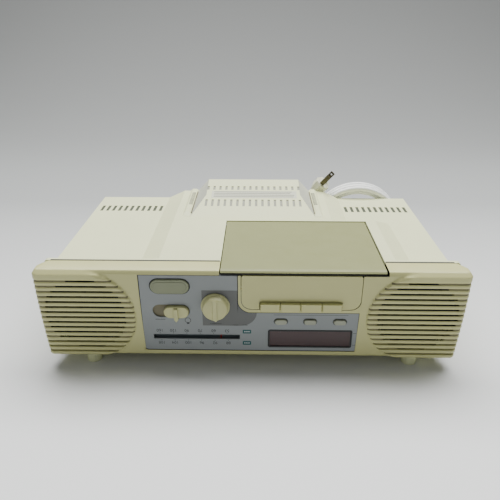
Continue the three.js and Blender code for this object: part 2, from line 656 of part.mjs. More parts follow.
function plugBody() {
  const profile = [[0, 0], [9.6, 0], [10.4, 1.4], [10.4, 12], [6.4, 22], [5, PLUG_LENGTH], [0, PLUG_LENGTH]];
  const points = profile.map(([radius, height]) => new THREE.Vector2(radius, height));
  return layAlongPlug(new THREE.LatheGeometry(points, 8));
}

function plugBlade(way) {
  const blade = new THREE.BoxGeometry(BLADE.thick, BLADE.length, BLADE.width);
  const hole = new THREE.CylinderGeometry(BLADE.hole, BLADE.hole, 3 * BLADE.thick, 12).rotateZ(Math.PI / 2);
  const side = (way * BLADE.spacing) / 2;
  return cut(
    layAlongPlug(blade.translate(side, -BLADE.length / 2 - GAP, 0)),
    layAlongPlug(hole.translate(side, -BLADE.length - GAP + BLADE.holeFromTip, 0)),
  );
}

// ---- assembly --------------------------------------------------------------------------------
const PAINT = {
  cream: [0xc9c7a4, 0.55, 0],
  ivory: [0xd9dcc8, 0.6, 0],
  tan: [0xababa0, 0.5, 0],
  panel: [0x7d8187, 0.5, 0],
  knob: [0xb8b68e, 0.5, 0],
  dark: [0x2a2a2a, 0.6, 0],
  maroon: [0x43302f, 0.15, 0],
  button: [0x7a7d66, 0.5, 0],
  red: [0xb03028, 0.4, 0],
  steel: [0x9a9c9e, 0.35, 1],
  green: [0x2f5a3a, 0.6, 0],
  cord: [0xd5d8d8, 0.5, 0],
  blade: [0x8a8265, 0.3, 1],
};
const assembly = new THREE.Group();

function add(name, paint, solid) {
  const { vertProperties, triVerts } = solid.getMesh();
  const geometry = new THREE.BufferGeometry();
  geometry.setAttribute("position", new THREE.BufferAttribute(vertProperties, 3));
  geometry.setIndex(new THREE.BufferAttribute(triVerts, 1));
  geometry.computeVertexNormals();
  const [color, roughness, metalness] = PAINT[paint];
  const mesh = new THREE.Mesh(geometry, new THREE.MeshStandardMaterial({ color, roughness, metalness }));
  mesh.name = name;
  assembly.add(mesh);
}

add("front_bezel", "cream", frontBezel());
add("main_cabinet", "ivory", mainCabinet());
add("mounting_cover", "ivory", mountingCover());
add("mounting_spacer_front_left", "ivory", mountingSpacer(-SPACER.x, SPACER.front));
add("mounting_spacer_front_right", "ivory", mountingSpacer(SPACER.x, SPACER.front));
add("mounting_spacer_rear_left", "ivory", mountingSpacer(-SPACER.x, SPACER.rear));
add("mounting_spacer_rear_right", "ivory", mountingSpacer(SPACER.x, SPACER.rear));
SCREWS.forEach(([name, x, y]) => add(name, "steel", coverScrew(x, y)));
add("control_fascia", "panel", controlFascia());
add("display_window", "maroon", displayWindow());
add("display_module", "dark", displayModule());
add("dial_backplate", "dark", dialBackplate());
add("dial_needle", "red", dialNeedle());
add("dial_cord", "dark", dialCord());
add("tuning_wheel", "dark", thumbwheel(-1));
add("volume_wheel", "dark", thumbwheel(1));
add("function_knob", "knob", functionKnob());
add("mode_slider", "knob", modeSlider());
add("snooze_button", "button", snoozeButton());
SET_BUTTONS.forEach(([name, x]) => add(name, "button", setButton(x)));
add("cassette_door_plate", "tan", doorPlate());
add("cassette_door_flap", "cream", doorFlap());
add("cassette_holder", "dark", cassetteHolder());
add("door_hinge_pin", "steel", hingePin());
["stop_eject_key", "fast_forward_key", "rewind_key", "play_key"].forEach((name, i) => {
  add(name, "cream", cassetteKey(KEYS.edges[i], KEYS.edges[i + 1]));
});
add("deck_chassis", "steel", deckChassis());
add("supply_spindle", "dark", reelSpindle(SUPPLY_X));
add("take_up_spindle", "dark", reelSpindle(TAKE_UP_X));
add("capstan_flywheel", "steel", capstanFlywheel());
add("pinch_roller", "dark", pinchRoller());
add("drive_motor", "steel", driveMotor());
add("motor_pulley", "steel", motorPulley());
add("drive_belt", "dark", driveBelt());
add("tape_head", "steel", tapeHead());
for (const [side, way] of [["left", -1], ["right", 1]]) {
  add("speaker_frame_" + side, "steel", speakerFrame(way));
  add("speaker_cone_" + side, "dark", speakerCone(way));
  add("speaker_magnet_" + side, "steel", speakerMagnet(way));
}
add("main_circuit_board", "green", circuitBoard());
add("power_transformer", "steel", powerTransformer());
add("appliance_outlet", "dark", applianceOutlet());
add("cord_strain_relief", "cord", strainRelief());
add("power_cord_lead", "cord", tube(LEAD_ROUTE, CORD_RADIUS, 8, 12));
add("power_cord_coil", "cord", cordCoil());
add("power_cord_tail", "cord", tube(TAIL_ROUTE, CORD_RADIUS, 8, 5));
add("plug_body", "cord", plugBody());
add("plug_blade_left", "blade", plugBlade(-1));
add("plug_blade_right", "blade", plugBlade(1));

assembly.position.y = -CENTRE_Y;
const group = new THREE.Group();
group.name = "clock_radio";
group.add(assembly);
export default group;
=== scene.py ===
import math

import bmesh
import bpy
from mathutils import Matrix, Vector


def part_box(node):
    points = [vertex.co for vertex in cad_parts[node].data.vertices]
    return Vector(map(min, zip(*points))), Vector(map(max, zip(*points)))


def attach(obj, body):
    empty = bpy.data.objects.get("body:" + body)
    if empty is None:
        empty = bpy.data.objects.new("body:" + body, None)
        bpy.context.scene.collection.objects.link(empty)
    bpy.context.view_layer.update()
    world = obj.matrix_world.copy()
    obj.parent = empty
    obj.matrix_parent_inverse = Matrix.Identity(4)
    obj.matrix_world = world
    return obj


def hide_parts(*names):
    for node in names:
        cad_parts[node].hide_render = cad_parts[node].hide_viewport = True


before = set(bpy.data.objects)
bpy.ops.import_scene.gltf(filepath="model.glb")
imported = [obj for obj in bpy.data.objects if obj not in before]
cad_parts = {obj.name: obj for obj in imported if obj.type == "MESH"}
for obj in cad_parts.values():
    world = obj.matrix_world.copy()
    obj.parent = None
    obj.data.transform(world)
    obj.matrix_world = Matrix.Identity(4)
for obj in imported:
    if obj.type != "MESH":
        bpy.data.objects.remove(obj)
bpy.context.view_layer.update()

# ---- driving sizes: millimetres, with y counted back from the front face; the model is in metres
MM = 0.001
BEZEL_DEPTH = 22
BEZEL_TOP = 113
BEZEL_BOTTOM = 14.0
FRONT_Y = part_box("front_bezel")[1][1] - BEZEL_DEPTH * MM
FRONT_HALF = 209.5
END_RADIUS = 5
SHELL_BACK = 21.2
SPEAKER_X = 167.5
SPEAKER_Z = 63.5
PAD_DROP = 2.0
PAD_RADIUS = 51.5
PAD_RAISE = 2.1
PAD_INNER = 113
PAD_OUTER = 200
GRILLE_RADIUS = 41
SLOT_PITCH = 5.89
GROOVE_HALF = 0.95
GROOVE_DEPTH = 1.4
SHOULDER_WIDTH = 0.3
SHOULDER_DEPTH = 0.4
RIB_RISE = 0.5
GROOVES = [SPEAKER_Z + (i - 6.5) * SLOT_PITCH for i in range(-1, 14)]
FASCIA_FRONT = 0.4


def at(x, y, z):
    """A point given in millimetres, with y counted back from the front face, in metres."""
    return Vector((x * MM, y * MM + FRONT_Y, z * MM))


def smooth_step(value):
    value = min(1.0, max(0.0, value))
    return value * value * (3 - 2 * value)


# ---- camera ------------------------------------------------------------------------------------
def make_camera():
    data = bpy.data.cameras.new("camera")
    camera = bpy.data.objects.new("camera", data)
    bpy.context.scene.collection.objects.link(camera)
    data.lens = 37.44
    data.sensor_width = 36
    camera.location = at(6.5, -443.7, 350)
    camera.rotation_euler = (math.radians(64.3), 0, math.radians(0.96))
    bpy.context.scene.camera = camera


# ---- materials ---------------------------------------------------------------------------------
def new_material(name):
    material = bpy.data.materials.new(name)
    material.use_nodes = True
    tree = material.node_tree
    shader = tree.nodes["Principled BSDF"]
    return material, tree, shader


def noise(tree, scale, detail, roughness=0.5):
    place = tree.nodes.get("place") or tree.nodes.new("ShaderNodeTexCoord")
    place.name = "place"
    node = tree.nodes.new("ShaderNodeTexNoise")
    node.inputs["Scale"].default_value = scale
    node.inputs["Detail"].default_value = detail
    node.inputs["Roughness"].default_value = roughness
    tree.links.new(place.outputs["Object"], node.inputs["Vector"])
    return node


def ramp(tree, source, stops):
    node = tree.nodes.new("ShaderNodeValToRGB")
    elements = node.color_ramp.elements
    while len(elements) < len(stops):
        elements.new(0.5)
    for element, (position, colour) in zip(elements, stops):
        element.position = position
        element.color = (*colour, 1)
    tree.links.new(source, node.inputs["Fac"])
    return node


def shade(colour, factor):
    return tuple(min(1.0, channel * factor) for channel in colour)


def moulded(name, colour, roughness, grain, depth, blotch, specular=0.4):
    """Moulded plastic: a fine spark-eroded grain, slow colour change from age and a few scuffs."""
    material, tree, shader = new_material(name)
    slow = noise(tree, 9.0, 4.0, 0.6)
    stops = [(0.3, shade(colour, 1 - blotch)), (0.7, shade(colour, 1 + blotch))]
    tint = ramp(tree, slow.outputs["Fac"], stops)
    tree.links.new(tint.outputs["Color"], shader.inputs["Base Color"])
    scuff = noise(tree, 60.0, 6.0, 0.7)
    gloss = tree.nodes.new("ShaderNodeMapRange")
    gloss.inputs["From Min"].default_value = 0.35
    gloss.inputs["From Max"].default_value = 0.7
    gloss.inputs["To Min"].default_value = roughness - 0.07
    gloss.inputs["To Max"].default_value = roughness + 0.08
    tree.links.new(scuff.outputs["Fac"], gloss.inputs["Value"])
    tree.links.new(gloss.outputs["Result"], shader.inputs["Roughness"])
    fine = noise(tree, grain, 2.0)
    bump = tree.nodes.new("ShaderNodeBump")
    bump.inputs["Strength"].default_value = 0.35
    bump.inputs["Distance"].default_value = depth
    tree.links.new(fine.outputs["Fac"], bump.inputs["Height"])
    tree.links.new(bump.outputs["Normal"], shader.inputs["Normal"])
    shader.inputs["Specular IOR Level"].default_value = specular
    return material


def metal(name, colour, roughness, blotch=0.12):
    material = moulded(name, colour, roughness, 400.0, 0.00003, blotch)
    material.node_tree.nodes["Principled BSDF"].inputs["Metallic"].default_value = 1.0
    return material


def glossy_filter(name, colour):
    """The display's dark filter: a smooth lens with faint dust."""
    material = moulded(name, colour, 0.22, 300.0, 0.00001, 0.08, 0.5)
    material.node_tree.nodes["Principled BSDF"].inputs["Coat Weight"].default_value = 0.2
    material.node_tree.nodes["Principled BSDF"].inputs["Coat Roughness"].default_value = 0.08
    return material


# name, colour, roughness, grain frequency, grain depth in metres, unevenness of the colour
MATERIALS = {
    "cream": moulded("cream_plastic", (0.54, 0.53, 0.24), 0.36, 1100.0, 0.00004, 0.03),
    "ivory": moulded("ivory_plastic", (0.70, 0.725, 0.44), 0.5, 800.0, 0.00006, 0.025),
    "tan": moulded("tan_plastic", (0.235, 0.245, 0.10), 0.5, 900.0, 0.00005, 0.03),
    "panel": moulded("panel_print", (0.25, 0.27, 0.27), 0.42, 700.0, 0.00003, 0.04),
    "patch": moulded("patch_print", (0.125, 0.13, 0.125), 0.45, 700.0, 0.00003, 0.04),
    "knob": moulded("knob_plastic", (0.52, 0.515, 0.25), 0.4, 900.0, 0.00004, 0.03),
    "button": moulded("button_plastic", (0.225, 0.245, 0.15), 0.42, 900.0, 0.00004, 0.04),
    # the recess colour paints the shade in the slider's slot and in the slots at the rails' feet
    "recess": moulded("recess_painted_shade", (0.15, 0.135, 0.075), 0.5, 900.0, 0.00004, 0.08),
    "groove": moulded("groove_shade", (0.15, 0.14, 0.07), 0.6, 900.0, 0.00004, 0.06),
    "shaded_ivory": moulded("shaded_ivory", (0.48, 0.49, 0.39), 0.55, 800.0, 0.00006, 0.03),
    "label": moulded("label_film", (0.60, 0.61, 0.48), 0.35, 500.0, 0.00002, 0.02),
    # the two vent colours are painted shade seen through the hump's vents and the wings' vents
    "vent": moulded("vent_shade_grey", (0.30, 0.305, 0.245), 0.7, 500.0, 0.00006, 0.05),
    "wing_vent": moulded("wing_vent_shade_dark", (0.062, 0.072, 0.045), 0.7, 500.0, 0.00006, 0.05),
    "dial_back": moulded("dial_back", (0.16, 0.19, 0.20), 0.5, 700.0, 0.00004, 0.1),
    "black": moulded("black_plastic", (0.012, 0.012, 0.012), 0.5, 700.0, 0.00005, 0.1),
    "set_button": moulded("set_button_plastic", (0.33, 0.345, 0.26), 0.42, 900.0, 0.00004, 0.04),
    # painted shade on the rails' ribs, and also the print of the label's rules
    "rib_shade_and_rule_ink": moulded("rib_shade_and_rule_ink", (0.20, 0.205, 0.15), 0.6, 900.0, 0.00004, 0.04),
    # print ink, also used for the painted shadow rings round the buttons
    "ink": moulded("print_ink_and_shadow", (0.028, 0.030, 0.036), 0.5, 700.0, 0.00002, 0.1),
    "teal": moulded("teal_ink", (0.008, 0.085, 0.085), 0.4, 700.0, 0.00002, 0.06),
    "pale_ink": moulded("pale_ink", (0.55, 0.58, 0.58), 0.5, 700.0, 0.00002, 0.05),
    "red": moulded("needle_plastic", (0.42, 0.03, 0.02), 0.3, 500.0, 0.00002, 0.05),
    "filter": glossy_filter("display_filter", (0.040, 0.013, 0.014)),
    "rubber": moulded("black_rubber", (0.02, 0.02, 0.02), 0.7, 500.0, 0.00006, 0.1),
    "paper": moulded("cone_paper", (0.02, 0.02, 0.022), 0.85, 600.0, 0.0001, 0.15),
    "steel": metal("zinc_steel", (0.42, 0.42, 0.43), 0.38),
    "board": moulded("circuit_board", (0.22, 0.13, 0.04), 0.5, 500.0, 0.00004, 0.15),
    "cord": moulded("cord_vinyl", (0.90, 0.91, 0.88), 0.42, 900.0, 0.00004, 0.03),
    "plug": moulded("plug_vinyl", (0.70, 0.70, 0.53), 0.42, 900.0, 0.00004, 0.03),
    "brass": metal("blade_brass", (0.09, 0.08, 0.05), 0.36, 0.25),
}


# ---- mesh helpers ------------------------------------------------------------------------------
def add_piece(name, mesh, material, body="radio", angle=35):
    piece = bpy.data.objects.new(name, mesh)
    bpy.context.scene.collection.objects.link(piece)
    if not mesh.materials:
        mesh.materials.append(MATERIALS[material])
    mesh.shade_smooth()
    mesh.set_sharp_from_angle(angle=math.radians(angle))
    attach(piece, body)
    return piece


def mesh_from(name, build):
    mesh = bpy.data.meshes.new(name)
    work = bmesh.new()
    build(work)
    work.to_mesh(mesh)
    work.free()
    return mesh


def baked(name, thing):
    """The object's mesh with its modifiers or curve settings applied; the object is removed."""
    bpy.context.view_layer.update()
    depsgraph = bpy.context.evaluated_depsgraph_get()
    mesh = bpy.data.meshes.new_from_object(thing.evaluated_get(depsgraph), depsgraph=depsgraph)
    mesh.name = name
    mesh.transform(thing.matrix_world)
    bpy.data.objects.remove(thing)
    return mesh


CORNER_STEPS = 6


def rounded(x0, x1, z0, z1, radii):
    """A rectangle's outline with a radius at each corner, from the low left one anticlockwise."""
    if not isinstance(radii, (list, tuple)):
        radii = [radii] * 4
    corners = [(x0, z0, 1, 1, 180), (x1, z0, -1, 1, 270), (x1, z1, -1, -1, 0), (x0, z1, 1, -1, 90)]
    outline = []
    for (x, z, way_x, way_z, start), radius in zip(corners, radii):
        for step in range(CORNER_STEPS + 1 if radius else 1):
            angle = math.radians(start + 90 * step / CORNER_STEPS)
            shift = (1 + math.cos(angle) * way_x, 1 + math.sin(angle) * way_z) if radius else (0, 0)
            outline.append((x + way_x * radius * shift[0], z + way_z * radius * shift[1]))
    return outline


def oval(x, z, length, height):
    return rounded(x - length / 2, x + length / 2, z - height / 2, z + height / 2, height / 2 - 0.01)


def circle(x, z, radius, steps=32):
    turn = [2 * math.pi * i / steps for i in range(steps)]
    return [(x + radius * math.cos(a), z + radius * math.sin(a)) for a in turn]


# stands a flat outline up, so that its own y becomes the object's height
FACING = Matrix(((1, 0, 0, 0), (0, 0, -1, 0), (0, 1, 0, 0), (0, 0, 0, 1)))


def plate_mesh(name, outlines, front, back, bevel=0.0):
    """A flat plate that faces the front. Its first outline is the edge and the others are holes."""
    data = bpy.data.curves.new(name, "CURVE")
    data.dimensions = "2D"
    data.fill_mode = "BOTH"
    data.extrude = ((back - front) / 2 - bevel) * MM
    data.bevel_depth = bevel * MM
    data.bevel_resolution = 2
    data.offset = -bevel * MM
    for outline in outlines:
        spline = data.splines.new("POLY")
        spline.points.add(len(outline) - 1)
        spline.use_cyclic_u = True
        for point, (x, z) in zip(spline.points, outline):
            point.co = (x * MM, z * MM, 0, 1)
    thing = bpy.data.objects.new(name, data)
    bpy.context.scene.collection.objects.link(thing)
    thing.matrix_world = Matrix.Translation((0, (front + back) / 2 * MM + FRONT_Y, 0)) @ FACING
    return baked(name, thing)


def joined(name, meshes):
    work = bmesh.new()
    for mesh in meshes:
        work.from_mesh(mesh)
        bpy.data.meshes.remove(mesh)
    mesh = bpy.data.meshes.new(name)
    work.to_mesh(mesh)
    work.free()
    return mesh


def turned_mesh(name, profile, centre, steps=72):
    """A profile of (radius, depth) turned about a line that runs back from the front."""
    turn = [2 * math.pi * i / steps for i in range(steps)]

    def build(work):
        rings = []
        for radius, depth in profile:
            if radius == 0:
                rings.append([work.verts.new(at(centre[0], depth, centre[1]))])
                continue
            rings.append([
                work.verts.new(at(centre[0] + radius * math.cos(a), depth, centre[1] + radius * math.sin(a)))
                for a in turn
            ])
        for first, second in zip(rings, rings[1:]):
            for i in range(steps):
                j = (i + 1) % steps
                around = ((first, i), (first, j), (second, j), (second, i))
                unique = list(dict.fromkeys(ring[k % len(ring)] for ring, k in around))
                if len(unique) > 2:
                    work.faces.new(unique)
        bmesh.ops.recalc_face_normals(work, faces=work.faces)
    return mesh_from(name, build)


# ---- front bezel with its ribbed grilles -------------------------------------------------------
def lines_between(marks, spacing):
    """Grid lines through every mark, with equal steps no longer than spacing in between."""
    marks = sorted(set(marks))
    lines = []
    for low, high in zip(marks, marks[1:]):
        count = max(1, math.ceil((high - low) / spacing))
        lines += [low + (high - low) * i / count for i in range(count)]
    return lines + [marks[-1]]


def pad_depth(x, z):
    """How far a point lies inside the raised D-shaped pad's edge."""
    x = abs(x)
    if x < SPEAKER_X:
        return PAD_RADIUS - math.hypot(x - SPEAKER_X, z - SPEAKER_Z + PAD_DROP)
    return PAD_RADIUS - abs(z - SPEAKER_Z + PAD_DROP)


def rib_height(z):
    """Ribs with a rounded face between the grooves."""
    nearest = min(GROOVES, key=lambda groove: abs(groove - z))
    away = abs(z - nearest)
    if away < GROOVE_HALF:
        return -GROOVE_DEPTH
    if away < GROOVE_HALF + SHOULDER_WIDTH:
        return -SHOULDER_DEPTH
    climb = min(1.0, (away - GROOVE_HALF) / (SLOT_PITCH / 2 - GROOVE_HALF))
    return RIB_RISE * math.sin(math.pi * climb / 2)


def face_height(x, z):
    """How far the pad and its ribs stand out of the front face."""
    inside = pad_depth(x, z)
    raised = PAD_RAISE * smooth_step(inside / 2.6)
    return raised + smooth_step((inside - 0.5) / 1.4) * rib_height(z)


def in_groove(x, z):
    nearest = min(GROOVES, key=lambda groove: abs(groove - z))
    on_pad = abs(x) > PAD_INNER and pad_depth(min(abs(x), PAD_OUTER), z) > 1.0
    return on_pad and abs(z - nearest) < GROOVE_HALF


def in_slot(x, z):
    for groove in GROOVES[1:]:
        if abs(z - groove) < GROOVE_HALF - 0.05:
            half = math.sqrt(GRILLE_RADIUS ** 2 - (groove - SPEAKER_Z) ** 2)
            return abs(abs(x) - SPEAKER_X) < half
    return False


# openings in the front wall, as left, right, bottom and top; two run out through the bezel's top
PAST_TOP = 200
NOTCH_LEFT, NOTCH_RIGHT = -31.0, 134.0
CONTROL_OPENING = (-111.1, -12.7, 19.7, 108.8)
DISPLAY_OPENING = (-12.8, 109.3, 19.7, 66.8)
FLAP_OPENING = (-10.0, 109.7, 70.0, PAST_TOP)
PLATE_NOTCH = (NOTCH_LEFT, NOTCH_RIGHT, 108.5, PAST_TOP)
BEZEL_OPENINGS = [CONTROL_OPENING, DISPLAY_OPENING, FLAP_OPENING, PLATE_NOTCH]
FLAP_FILLET, CONTROL_FILLET = 10.4, 4.3

# the plain stretch of the wall's height, and the end faces
WALL_LOW, WALL_HIGH = 16.0, 109.0
END_FACE = 214.4
# the bezel draws in towards its bottom by this share of its width
NARROWING, NARROW_BELOW, NARROW_OVER = 0.016, 105, 91
REAR_HALF_TOP, REAR_HALF_BOTTOM = 204.6, 207.0
CREAM_FACE, GROOVE_FACE = 0, 2


def bezel_plan():
    """Plan of the bezel's outer wall from its rear left corner to its rear right one.

    Each point is x, y and the direction that the wall faces there.
    """
    pad_start = PAD_INNER + 1.0
    pads = lines_between([-FRONT_HALF, -pad_start], 1.2) + lines_between([pad_start, FRONT_HALF], 1.2)
    front = lines_between([x for box in BEZEL_OPENINGS for x in box[:2]] + pads, 7.0)
    corner = []
    for step in range(7):
        angle = math.radians(90 * step / 6)
        side, forward = math.cos(angle), math.sin(angle)
        corner.append((-FRONT_HALF - END_RADIUS * side, END_RADIUS - END_RADIUS * forward, -side, -forward))
    flank = [(-207.0, SHELL_BACK, -0.83, 0.56), (-210.8, 16.5, -0.83, 0.56), (-214.5, 11.0, -0.98, 0.2)]
    left = flank + corner
    plan = left + [(x, 0.0, 0.0, -1.0) for x in front[1:-1]]
    return plan + [(-x, y, -nx, ny) for x, y, nx, ny in reversed(left)]


def bezel_rows():
    """Rows up the wall: height and how far the wall is drawn in there."""
    marks = [WALL_LOW, WALL_HIGH] + [z for box in BEZEL_OPENINGS for z in box[2:]]
    for groove in GROOVES:
        marks += [groove + way * (GROOVE_HALF + step) for way in (-1, 1) for step in (0, SHOULDER_WIDTH)]
        marks += [groove + share * SLOT_PITCH for share in (0.34, 0.5, 0.66)]
    heights = sorted(z for z in set(marks) if WALL_LOW <= z <= WALL_HIGH)
    bottom = [(BEZEL_BOTTOM, 2.0), (14.25, 1.1), (14.9, 0.4)]
    top = [(109.5, 0.1), (110.4, 0.5), (112.0, 1.3), (112.75, 1.9), (BEZEL_TOP, 2.8)]
    return bottom + [(z, 0.0) for z in heights] + top


def narrowed(z):
    """The bezel's width at a height, as a share of its full width."""
    return 1 - NARROWING * max(0.0, (NARROW_BELOW - z) / NARROW_OVER) ** 2


def bezel_point(column, row):
    """Where the wall stands for one column of the plan and one row."""
    x, y, nx, ny = column
    z, inset = row
    height = face_height(x, z) if abs(x) > PAD_INNER else 0.0
    lift = height * abs(ny) if height > 0 else height
    if z > WALL_HIGH:
        lift *= (BEZEL_TOP - z) / (BEZEL_TOP - WALL_HIGH)
    if abs(x) >= END_FACE or ny > 0:
        lift = smooth_step((pad_depth(PAD_OUTER, z) - 0.6) / 2.2) * min(0.0, rib_height(z)) * 0.8
    back = ny * lift if ny > 0 else ny * (lift - inset)
    return at((x + nx * (lift - inset)) * narrowed(z), y + back, z)


def corner_fillet(work, x, z, way_x, radius):
    """Fills a lower corner of an opening outside its bend; way_x points into the opening."""
    arc = [math.radians(270 - 90 * i / 8) for i in range(9)]
    centre_x, centre_z = x + way_x * radius, z + radius
    bend = [(centre_x + way_x * radius * math.cos(a), centre_z + radius * math.sin(a)) for a in arc]
    points = ([(x, z)] + bend)[::way_x]
    work.faces.new([work.verts.new(at(px, 0, pz)) for px, pz in points])


def build_bezel(work):
    plan, rows = bezel_plan(), bezel_rows()
    grid = [[work.verts.new(bezel_point(column, row)) for column in plan] for row in rows]

    def rear_line(z, width, side):
        return [work.verts.new(at(max(-side, min(side, x * width)), SHELL_BACK, z)) for x, *_ in plan]

    low_width = 1 - NARROWING
    floor = rear_line(BEZEL_BOTTOM, low_width, REAR_HALF_BOTTOM * low_width)
    roof = rear_line(BEZEL_TOP, 1.0, REAR_HALF_TOP)
    for r, (low, high) in enumerate(zip(rows, rows[1:])):
        z = (low[0] + high[0]) / 2
        for c, (first, second) in enumerate(zip(plan, plan[1:])):
            x = (first[0] + second[0]) / 2
            open_here = any(x0 < x < x1 and z0 < z < z1 for x0, x1, z0, z1 in BEZEL_OPENINGS)
            if open_here or in_slot(x, z):
                continue
            face = work.faces.new([grid[r][c], grid[r][c + 1], grid[r + 1][c + 1], grid[r + 1][c]])
            face.material_index = GROOVE_FACE if in_groove(x, z) else CREAM_FACE
    for c, (first, second) in enumerate(zip(plan, plan[1:])):
        work.faces.new([floor[c], floor[c + 1], grid[0][c + 1], grid[0][c]])
        if not NOTCH_LEFT < (first[0] + second[0]) / 2 < NOTCH_RIGHT:
            work.faces.new([grid[-1][c], grid[-1][c + 1], roof[c + 1], roof[c]])
    flap_left, flap_right, flap_bottom = FLAP_OPENING[:3]
    corner_fillet(work, flap_left, flap_bottom, 1, FLAP_FILLET)
    corner_fillet(work, flap_right, flap_bottom, -1, FLAP_FILLET)
    corner_fillet(work, CONTROL_OPENING[0], CONTROL_OPENING[2], 1, CONTROL_FILLET)
    loose = [vert for vert in work.verts if not vert.link_faces]
    bmesh.ops.delete(work, geom=loose, context="VERTS")
    bmesh.ops.remove_doubles(work, verts=work.verts, dist=0.00001)
    bmesh.ops.dissolve_degenerate(work, edges=work.edges, dist=0.00001)


def make_bezel():
    """The wall's inside and the edges of its slots are black, as they are in shadow."""
    thing = bpy.data.objects.new("bezel_work", mesh_from("bezel_work", build_bezel))
    bpy.context.scene.collection.objects.link(thing)
    for material in ("cream", "black", "groove"):
        thing.data.materials.append(MATERIALS[material])
    wall = thing.modifiers.new("wall", "SOLIDIFY")
    wall.thickness = 1.8 * MM
    wall.offset = -1
    wall.material_offset = 1
    wall.material_offset_rim = 1
    piece = add_piece("bezel_shell", baked("bezel_shell", thing), "cream", angle=40)
    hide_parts("front_bezel")


# ---- control fascia ----------------------------------------------------------------------------
# ovals are x, z, length and height; boxes are left, right, bottom and top
SLIDER_SLOT = (-80.4, 67.5, 37.6, 14.6)
OVAL_BUTTON = (-80.25, 96.0, 38.5, 15.8)
KNOB = (-35.6, 74.0)
KNOB_HOLE = 4.2
DIAL_BAR = (-100.3, -11.4, 33.8, 39.3)
DISPLAY = (17.7, 103.6, 24.5, 45.8)
SET_BUTTONS = [(30.4, 56.0), (60.0, 56.0), (90.1, 56.0)]
SET_BUTTON_SIZE = (12.2, 5.6)
SET_BUTTON_HOLE = (13.0, 6.4)
FASCIA_STEP = (-13.0, 66.5)
FASCIA_CORNER = 4
FLAP_BEND = 13.6


def fascia_edge():
    """The L-shaped outline of the fascia, which steps down to pass under the cassette flap."""
    left, right, low, high = -110.8, 109.0, 20.0, 108.5
    middle, step = FASCIA_STEP
    low_left = rounded(left, right, low, high, [FASCIA_CORNER, 0, 0, 0])[:CORNER_STEPS + 1]
    return low_left + [(right, low), (right, step), (middle, step), (middle, high), (left, high)]


def make_fascia():
    holes = [oval(*SLIDER_SLOT), oval(*OVAL_BUTTON[:2], 39.3, 16.6), circle(*KNOB, KNOB_HOLE)]
    holes += [rounded(*DIAL_BAR, 0.6), rounded(*DISPLAY, 1.5)]
    holes += [oval(x, z, *SET_BUTTON_HOLE) for x, z in SET_BUTTONS]
    mesh = plate_mesh("fascia_panel", [fascia_edge()] + holes, FASCIA_FRONT, 2.1, 0.15)
    panel = add_piece("fascia_panel", mesh, "panel")
    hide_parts("control_fascia")


def fascia_bend(radius):
    """The arc of the fascia's edge that goes round the door flap's corner, from the step upwards."""
    centre = (FASCIA_STEP[0] + FLAP_BEND, FASCIA_STEP[1] + FLAP_BEND)
    turn = [math.radians(270 - 90 * i / 8) for i in range(9)]
    return [(centre[0] + radius * math.cos(a), centre[1] + radius * math.sin(a)) for a in turn]


def make_fascia_edges():
    """The dark line round the fascia and its corner beside the flap."""
    corner = plate_mesh("fascia_corner", [[(-13.2, 66.3)] + fascia_bend(FLAP_BEND)], -0.12, 0.5)
    add_piece("fascia_corner", corner, "patch")
    outer = fascia_edge()
    inner = [(x + (0.55 if x < -100 else -0.55), z + (0.5 if z < 30 else -0.5)) for x, z in outer]
    print_on("fascia_outline", [[outer, inner]], "ink")
    bend = fascia_bend(FLAP_BEND) + list(reversed(fascia_bend(FLAP_BEND + 0.5)))
    add_piece("fascia_bend_line", plate_mesh("fascia_bend_line", [bend], -0.2, -0.1), "ink")


def print_on(name, shapes, ink):
    """Ink on the fascia, and the rings of painted shadow round the buttons: flat shapes a few hundredths of
    a millimetre proud.
    """
    meshes = [plate_mesh(name, outlines, FASCIA_FRONT - 0.05, FASCIA_FRONT + 0.02) for outlines in shapes]
    add_piece(name, joined(name, meshes), ink)


# faces the front with its head down, as the radio is stored upside down
HEAD_DOWN = Matrix(((-1, 0, 0, 0), (0, 0, -1, 0), (0, -1, 0, 0), (0, 0, 0, 1)))


def figures(name, entries, size):
    """Upside-down figures, each (text, x, z), on the fascia."""
    meshes = []
    for text, x, z in entries:
        data = bpy.data.curves.new(name, "FONT")
        data.body = text
        data.size = size * MM
        data.extrude = 0.03 * MM
        data.align_x = "CENTER"
        data.align_y = "CENTER"
        thing = bpy.data.objects.new(name, data)
        bpy.context.scene.collection.objects.link(thing)
        thing.matrix_world = Matrix.Translation(at(x, FASCIA_FRONT - 0.03, z)) @ HEAD_DOWN
        meshes.append(baked(name, thing))
    add_piece(name, joined(name, meshes), "ink")


UPPER_SCALE = ["53", "60", "70", "90", "120", "160"]
LOWER_SCALE = ["88", "92", "96", "100", "104", "108"]
SCALE_START, SCALE_STEP, LOWER_SHIFT = -24.5, 13.8, 1.2
FIGURE_SIZE = 4.7
BADGE_ROWS = (43.3, 29.3)


def mark(x0, x1, z0, z1, radius=0):
    return [rounded(x0, x1, z0, z1, radius)]


